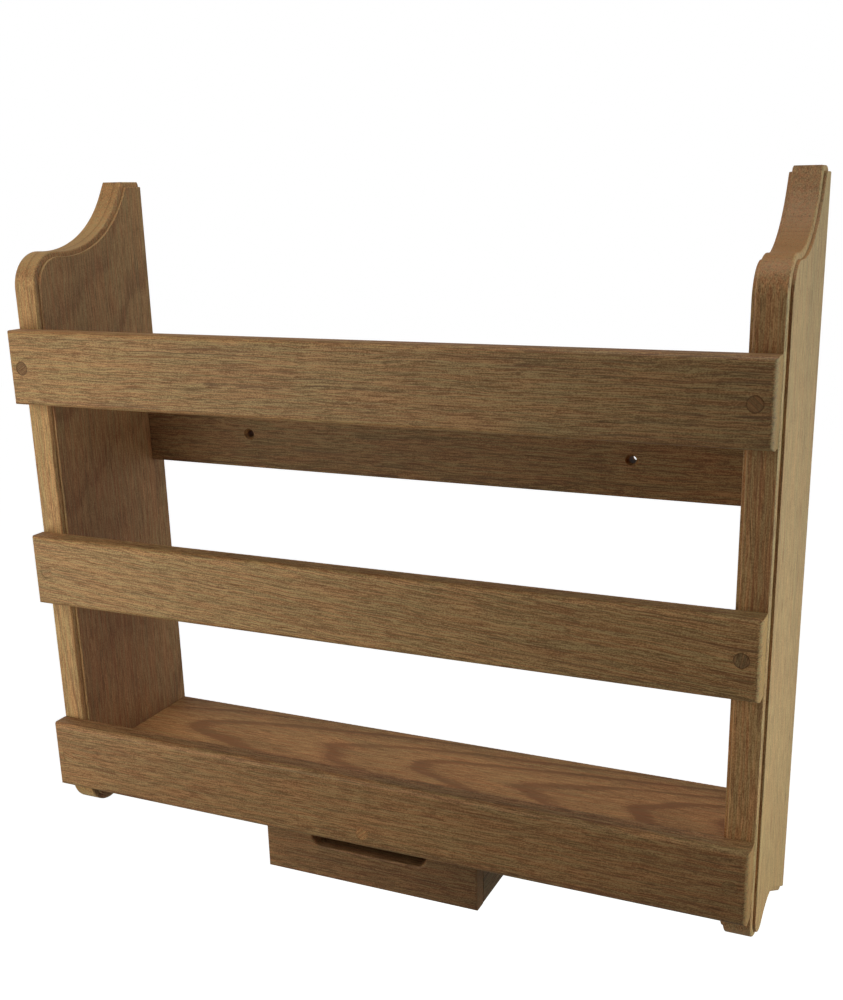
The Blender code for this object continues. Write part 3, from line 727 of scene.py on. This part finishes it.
def plug_finish(node):
    seed = seed_of(node, PLUG_LOOKS, *PLUG_SEEDS)
    return wood(f"finish_{node}", seed=seed, **PLUG_GRAIN, **PLUG_LOOKS[node])


# ---------------------------------------------------------------- side panels


def arc(centre, radius, start, end):
    steps = max(2, math.ceil(abs(end - start) / ARC_STEP))
    angles = [start + (end - start) * step / steps for step in range(steps + 1)]
    return [(centre[0] + radius * math.cos(a), centre[1] + radius * math.sin(a)) for a in angles]


def panel_outline(low, high, inset):
    """The (y, z) outline of a side panel, moved inwards by inset everywhere but at the back edge."""
    foot = (low.y + FOOT_RADIUS, low.z + FOOT_RISE)
    reach = FOOT_RADIUS + ARCH_RADIUS
    arch = (foot[0] + reach * math.sin(ARCH_LEAN), foot[1] - reach * math.cos(ARCH_LEAN))
    shoulder = (low.y + SHOULDER_RADIUS, high.z - SHOULDER_DROP)
    reach = SHOULDER_RADIUS + SWEEP_RADIUS
    sweep = (shoulder[0] + reach * math.sin(SWEEP_LEAN), shoulder[1] + reach * math.cos(SWEEP_LEAN))

    under = arc(arch, ARCH_RADIUS + inset, QUARTER - BOTTOM_SLOPE, QUARTER + ARCH_LEAN)
    nose = arc(foot, FOOT_RADIUS - inset, ARCH_LEAN - QUARTER, -math.pi)
    brow = arc(shoulder, SHOULDER_RADIUS - inset, math.pi, QUARTER - SWEEP_LEAN)
    neck = arc(sweep, SWEEP_RADIUS + inset, -QUARTER - SWEEP_LEAN, TOP_SLOPE - QUARTER)

    bottom_z = low.z + inset
    top_z = high.z - inset
    bottom_y = under[0][0] + (under[0][1] - bottom_z) / math.tan(BOTTOM_SLOPE)
    top_y = neck[-1][0] + (top_z - neck[-1][1]) / math.tan(TOP_SLOPE)
    ends = [(high.y, bottom_z), (bottom_y, bottom_z)]
    return ends + under + nose[1:] + brow + neck[1:] + [(top_y, top_z), (high.y, top_z)]


def moulding():
    """(distance in from the panel's face, outline inset) pairs across one moulded edge, its arris eased."""
    bow = ARRIS_BOW * ARRIS
    rings = [(0.0, MOULD_INSET + ARRIS), (bow, MOULD_INSET + bow), (ARRIS, MOULD_INSET)]
    for step in range(MOULD_STEPS + 1):
        turn = QUARTER * step / MOULD_STEPS
        across = MOULD_QUIRK + MOULD_ROUND_WIDTH * (1 - math.cos(turn))
        rings.append((across, MOULD_INSET * (1 - math.sin(turn))))
    return rings


def panel_holes(side, face_x, front_y):
    """Cutters for the dowels, from the panel's inner face, and for the slats' screws, from its front."""
    sign = SIDES[side]
    cutters = []
    for dowel in [n for n in frame["nodes"] if n.startswith(side) and n.endswith("_dowel")]:
        spot = middle(dowel)
        far_x = spot.x + sign * half_size(dowel, X)
        deep = abs(far_x - face_x) + END_ROOM
        cutters.append(drill((face_x, spot.y, spot.z), (sign, 0, 0), half_size(dowel, Z) + DOWEL_FIT, deep))
    for row in ROWS:
        screw = f"{row}_slat_{side}_screw"
        spot = middle(screw)
        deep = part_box(screw)[1].y - front_y + OVERSHOOT
        cutters.append(drill((spot.x, front_y, spot.z), BACKWARD, SCREW_HOLE_RADIUS, deep))
    return cutters


def side_panel(side):
    node = f"{side}_side_panel"
    low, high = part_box(node)
    half = half_size(node, X)
    centre = middle(node).x
    first = [(-half + across, inset) for across, inset in moulding()]
    rings = []
    for x, inset in first + [(-x, inset) for x, inset in reversed(first)]:
        rings.append([(centre + x, y, z) for y, z in panel_outline(low, high, inset)])
    panel = as_object(f"teak_{node}", lofted(rings))
    carve(panel, panel_holes(side, centre - SIDES[side] * half, low.y))
    settle(panel, node, board_finish(node))


# ---------------------------------------------------------------- slats, rail and shelf


def slat(row):
    node = f"{row}_front_slat"
    low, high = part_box(node)
    bm = box_mesh(low, high)
    bevel_edges(bm, on_front(low), SLAT_ROUND, segments=8)
    bevel_edges(bm, on_back(high), BACK_EASE, segments=2)
    board = as_object(f"teak_{node}", bm)
    cutters = []
    for spot in ("left", "centre", "right"):
        bung = f"{row}_slat_{spot}_bung"
        if bung not in frame["nodes"]:
            continue
        start = (middle(bung).x, low.y, middle(bung).z)
        head_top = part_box(f"{row}_slat_{spot}_screw")[0].y
        head_end = head_top + PAN_HEAD_HEIGHT - low.y + END_ROOM
        cutters.append(drill(start, BACKWARD, half_size(bung, X) + PLUG_GAP, head_end, segments=64))
        cutters.append(drill(start, BACKWARD, SCREW_HOLE_RADIUS, high.y - low.y + OVERSHOOT))
    carve(board, cutters)
    settle(board, node, board_finish(node))


def plain_board(node, ease, segments, cutters=()):
    """A board with its long edges eased; its ends, which butt against other boards, stay sharp."""
    bm = box_mesh(*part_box(node))
    bevel_edges(bm, running(X), ease, segments)
    board = as_object(f"teak_{node}", bm)
    carve(board, cutters)
    settle(board, node, board_finish(node))


def dowel_holes(ending):
    """Cutters for the dowels with this ending to their names, in both ends of a board between the panels."""
    board_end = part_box("back_rail")[1].x
    cutters = []
    for dowel in [n for n in frame["nodes"] if n.endswith(ending)]:
        spot = middle(dowel)
        sign = 1 if spot.x > 0 else -1
        deep = board_end - (abs(spot.x) - half_size(dowel, X)) + END_ROOM
        radius = half_size(dowel, Z) + DOWEL_FIT
        cutters.append(drill((sign * board_end, spot.y, spot.z), (-sign, 0, 0), radius, deep))
    return cutters


def back_rail():
    low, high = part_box("back_rail")
    deep = high.y - low.y + OVERSHOOT
    cutters = dowel_holes("_rail_dowel")
    for sign in SIDES.values():
        start = (sign * WALL_HOLE_SPACING / 2, low.y, 0)
        hole = countersink(start, BACKWARD, WALL_SINK_RADIUS, WALL_SINK_DEPTH, WALL_HOLE_RADIUS, deep, 48)
        cutters.append(hole)
    plain_board("back_rail", BOARD_EASE, segments=4, cutters=cutters)


def runner_screws(side):
    return [f"{side}_runner_{end}_screw" for end in ("front", "back")]


def shelf():
    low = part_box("bottom_shelf")[0]
    cutters = dowel_holes("_shelf_dowel")
    slat_screw = "bottom_slat_centre_screw"
    spot = middle(slat_screw)
    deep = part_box(slat_screw)[1].y - low.y + OVERSHOOT
    cutters.append(drill((spot.x, low.y, spot.z), BACKWARD, SCREW_HOLE_RADIUS, deep))
    for side in SIDES:
        for screw in runner_screws(side):
            spot = middle(screw)
            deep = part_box(screw)[1].z - low.z + OVERSHOOT
            cutters.append(drill((spot.x, spot.y, low.z), UP, RUNNER_HOLE_RADIUS, deep))
    plain_board("bottom_shelf", BOARD_EASE, segments=4, cutters=cutters)


# ---------------------------------------------------------------- drawer and runners


def runner(side):
    """A strip under the shelf with a tongue that carries the drawer's side."""
    node = f"{side}_drawer_runner"
    sign = SIDES[side]
    low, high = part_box(node)
    tip, outer = (low.x, high.x) if sign > 0 else (high.x, low.x)
    inner = outer - sign * RUNNER_WIDTH
    tongue_z = low.z + TONGUE_HEIGHT
    corners = [(inner, high.z), (outer, high.z), (outer, low.z), (tip, low.z)]
    corners += [(tip, tongue_z), (inner, tongue_z)]
    bm = extruded(corners, low.y, high.y - low.y)
    lengthwise = running(Y)
    below = high.z - TOLERANCE
    bevel_edges(bm, lambda a, b: lengthwise(a, b) and max(a.z, b.z) < below, STRIP_EASE, segments=3)
    strip = as_object(f"teak_{node}", bm)
    sizes = (RUNNER_SINK_RADIUS, RUNNER_SINK_DEPTH, RUNNER_HOLE_RADIUS, RUNNER_HOLE_DEPTH)
    spots = [middle(screw) for screw in runner_screws(side)]
    carve(strip, [countersink((spot.x, spot.y, low.z), UP, *sizes, segments=32) for spot in spots])
    settle(strip, node, board_finish(node))


def notched_outline(low, high):
    """The drawer front's (x, z) outline, with a round-cornered finger notch in its top edge."""
    half = NOTCH_WIDTH / 2
    corner_x = half - NOTCH_CORNER
    corner_z = high.z - NOTCH_DEPTH + NOTCH_CORNER
    left = arc((-corner_x, corner_z), NOTCH_CORNER, math.pi, 1.5 * math.pi)
    right = arc((corner_x, corner_z), NOTCH_CORNER, 1.5 * math.pi, 2 * math.pi)
    outline = [(low.x, low.z), (low.x, high.z), (-half, high.z)] + left + right
    return outline + [(half, high.z), (high.x, high.z), (high.x, low.z)]


def drawer_front():
    low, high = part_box("drawer_front")
    bm = extruded(notched_outline(low, high), low.y, high.y - low.y)
    bevel_edges(bm, on_front(low), DRAWER_ROUND, segments=6)
    bevel_edges(bm, on_back(high), BACK_EASE, segments=2)
    front = as_object("teak_drawer_front", bm)
    floor_low, floor_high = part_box("drawer_floor")
    groove = block(
        (floor_low.x - GROOVE_ROOM, floor_high.x + GROOVE_ROOM),
        (floor_low.y - GROOVE_ROOM, high.y + OVERSHOOT),
        (floor_low.z - GROOVE_ROOM, floor_high.z + GROOVE_ROOM),
    )
    carve(front, [groove])
    settle(front, "drawer_front", board_finish("drawer_front"))


def drawer_side(side):
    """A side with a groove for the floor inside and one for the runner's tongue outside."""
    node = f"drawer_{side}_side"
    sign = SIDES[side]
    low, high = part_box(node)
    bm = box_mesh(low, high)
    bevel_edges(bm, running(Y), DRAWER_EASE, segments=3)
    wall = as_object(f"teak_{node}", bm)
    inner, outer = (low.x, high.x) if sign > 0 else (high.x, low.x)
    back = high.y + OVERSHOOT
    floor_low, floor_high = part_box("drawer_floor")
    floor_groove = block(
        (inner - sign * OVERSHOOT, sign * (floor_high.x + GROOVE_ROOM)),
        (low.y - OVERSHOOT, back),
        (floor_low.z - GROOVE_ROOM, floor_high.z + GROOVE_ROOM),
    )
    runner_low, runner_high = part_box(f"{side}_drawer_runner")
    tip = runner_low.x if sign > 0 else runner_high.x
    runner_groove = block(
        (tip - sign * TONGUE_SIDE_ROOM, outer + sign * OVERSHOOT),
        (runner_low.y - TONGUE_END_ROOM, back),
        (runner_low.z - TONGUE_UNDER_ROOM, runner_low.z + TONGUE_HEIGHT + TONGUE_OVER_ROOM),
    )
    carve(wall, [floor_groove, runner_groove])
    settle(wall, node, board_finish(node))


def drawer_floor():
    bm = box_mesh(*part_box("drawer_floor"))
    bevel_edges(bm, lambda a, b: True, FLOOR_EASE, segments=2)
    floor = as_object("plywood_drawer_floor", bm)
    settle(floor, "drawer_floor", pale_wood("birch_plywood", "XYZ", (4, 1, 8), *BIRCH))


# ---------------------------------------------------------------- plugs, dowels and screws


def plug(node):
    radius = half_size(node, X)
    length = 2 * half_size(node, Y)
    profile = [
        (radius - PLUG_FRONT_CHAMFER, 0),
        (radius, PLUG_FRONT_CHAMFER),
        (radius, length - PLUG_BACK_CHAMFER),
        (radius - PLUG_BACK_CHAMFER, length),
    ]
    made = turned(f"teak_{node}", profile, segments=48)
    spot = middle(node)
    point(made, (spot.x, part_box(node)[0].y, spot.z), BACKWARD)
    settle(made, node, plug_finish(node))


def dowel(node, finish):
    """A fluted dowel with chamfered ends."""
    radius = half_size(node, Z)
    length = 2 * half_size(node, X)

    def fluted(r, angle, height):
        if not DOWEL_CHAMFER / 2 < height < length - DOWEL_CHAMFER / 2:
            return r
        return r - FLUTE_DEPTH * (0.5 + 0.5 * math.cos(DOWEL_FLUTES * angle))

    end = radius - DOWEL_CHAMFER
    profile = [(end, 0), (radius, DOWEL_CHAMFER), (radius, length - DOWEL_CHAMFER), (end, length)]
    made = turned(f"beech_{node}", profile, DOWEL_FLUTES * FLUTE_POINTS, fluted)
    spot = middle(node)
    sign = 1 if spot.x > 0 else -1
    point(made, (spot.x - sign * length / 2, spot.y, spot.z), (sign, 0, 0))
    settle(made, node, finish, FLUTED_SHARP_ANGLE)


def threading(shank, start, length):
    """The shape that turned() needs for a thread which fades in at start and tapers to the point."""
    core = THREAD_CORE * shank

    def threaded(r, angle, height):
        if height < start:
            return r
        turn = (height / THREAD_PITCH + angle / (2 * math.pi)) % 1.0
        crest = max(0.0, 1 - abs(turn - 0.5) * CREST_SHARPNESS)
        left = min(1.0, (length - height) / SCREW_TAPER)
        fade = min(1.0, (height - start) / THREAD_PITCH)
        return max(SCREW_TIP, left * (core + (shank - core) * crest * fade))

    return threaded


def cross_recess(head):
    """Two crossed cutters for the top of a screw's head."""
    half_long = RECESS_ARM * head[0][0] + OVERSHOOT / 2
    half_wide = RECESS_WIDTH / 2
    deep = (-OVERSHOOT, RECESS_DEPTH * head[-1][1])
    halves = ((half_long, half_wide), (half_wide, half_long))
    return [block((-half_x, half_x), (-half_y, half_y), deep) for half_x, half_y in halves]


def wood_screw(node, direction, head, finish):
    """A screw with its head at the low end of its box, a plain shank, a thread and a point."""
    low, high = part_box(node)
    axis = direction.index(1)
    length = (high - low)[axis]
    shank, head_end = head[-1]
    thread_start = head_end + PLAIN_SHANK * (length - head_end)
    step = THREAD_PITCH / THREAD_STEPS
    rings = int((length - thread_start) / step)
    profile = [*head, (shank, thread_start - TOLERANCE)]
    profile += [(shank, thread_start + step * index) for index in range(rings)]
    profile += [(SCREW_TIP, length)]
    shape = threading(shank, thread_start, length)
    made = turned(f"steel_{node}", profile, segments=24, shape=shape)
    carve(made, cross_recess(head))
    start = middle(node)
    start[axis] = low[axis]
    point(made, start, direction)
    settle(made, node, finish)


def fastenings():
    steel = metal("stainless_steel")
    beech = pale_wood("beech", "ZXY", (7, 3, 5), *BEECH)
    for node in sorted(frame["nodes"]):
        if node.endswith("_bung"):
            plug(node)
        elif node.endswith("_dowel"):
            dowel(node, beech)
        elif "_slat_" in node:
            wood_screw(node, BACKWARD, PAN_HEAD, steel)
        elif node.endswith("_screw"):
            wood_screw(node, UP, FLAT_HEAD, steel)


# ---------------------------------------------------------------- stage, lights and camera


def stage():
    """A pale floor far below the rack, which hangs on its wall."""
    bm = bmesh.new()
    bmesh.ops.create_grid(bm, x_segments=1, y_segments=1, size=FLOOR_REACH)
    floor = as_object("floor", bm)
    floor.location.z = cad_low.z - FLOOR_DROP
    g = Graph("pale_floor")
    speck = g.noise(g.node("TexCoord").outputs["Object"], *FLOOR_SPECKS).outputs["Fac"]
    g.feed(g.shader.inputs["Base Color"], g.mix(speck, *FLOOR_GREYS))
    g.shine(FLOOR_ROUGHNESS)
    g.shader.inputs["Emission Color"].default_value = (*WHITE, 1)
    g.feed(g.shader.inputs["Emission Strength"], g.node("LightPath").outputs["Is Camera Ray"])
    floor.data.materials.append(g.material)


def softbox(name, place, aim, width, height, power, colour):
    data = bpy.data.lights.new(name, "AREA")
    data.shape = "RECTANGLE"
    data.size, data.size_y = width, height
    data.energy = power
    data.color = colour
    made = bpy.data.objects.new(name, data)
    made.location = place
    made.rotation_euler = (Vector(aim) - Vector(place)).to_track_quat("-Z", "Y").to_euler()
    made.visible_camera = False
    bpy.context.scene.collection.objects.link(made)


def backdrop():
    """A world that is white to the camera and gives no light."""
    world = bpy.data.worlds.new("studio")
    bpy.context.scene.world = world
    world.use_nodes = True
    tree = world.node_tree
    background = tree.nodes["Background"]
    background.inputs["Color"].default_value = (*WHITE, 1)
    path = tree.nodes.new("ShaderNodeLightPath")
    tree.links.new(path.outputs["Is Camera Ray"], background.inputs["Strength"])


def camera():
    data = bpy.data.cameras.new("camera")
    data.sensor_fit = "AUTO"
    data.lens = CAMERA_LENS_MM
    data.shift_x, data.shift_y = CAMERA_SHIFT
    made = bpy.data.objects.new("camera", data)
    turn = Matrix.Rotation(CAMERA_YAW, 4, "Z") @ Matrix.Rotation(QUARTER + CAMERA_PITCH, 4, "X")
    made.matrix_world = Matrix.Translation(CAMERA_PLACE) @ turn @ Matrix.Rotation(CAMERA_ROLL, 4, "Z")
    bpy.context.scene.collection.objects.link(made)
    bpy.context.scene.camera = made


bpy.context.scene.view_settings.view_transform = "Standard"
camera()
for light_name, light in LIGHTS.items():
    softbox(light_name, *light)
backdrop()
stage()
for panel_side in SIDES:
    side_panel(panel_side)
    runner(panel_side)
    drawer_side(panel_side)
    plain_board(f"{panel_side}_drawer_stop", STRIP_EASE, segments=3)
for slat_row in ROWS:
    slat(slat_row)
back_rail()
shelf()
drawer_front()
plain_board("drawer_back", DRAWER_EASE, segments=3)
drawer_floor()
fastenings()
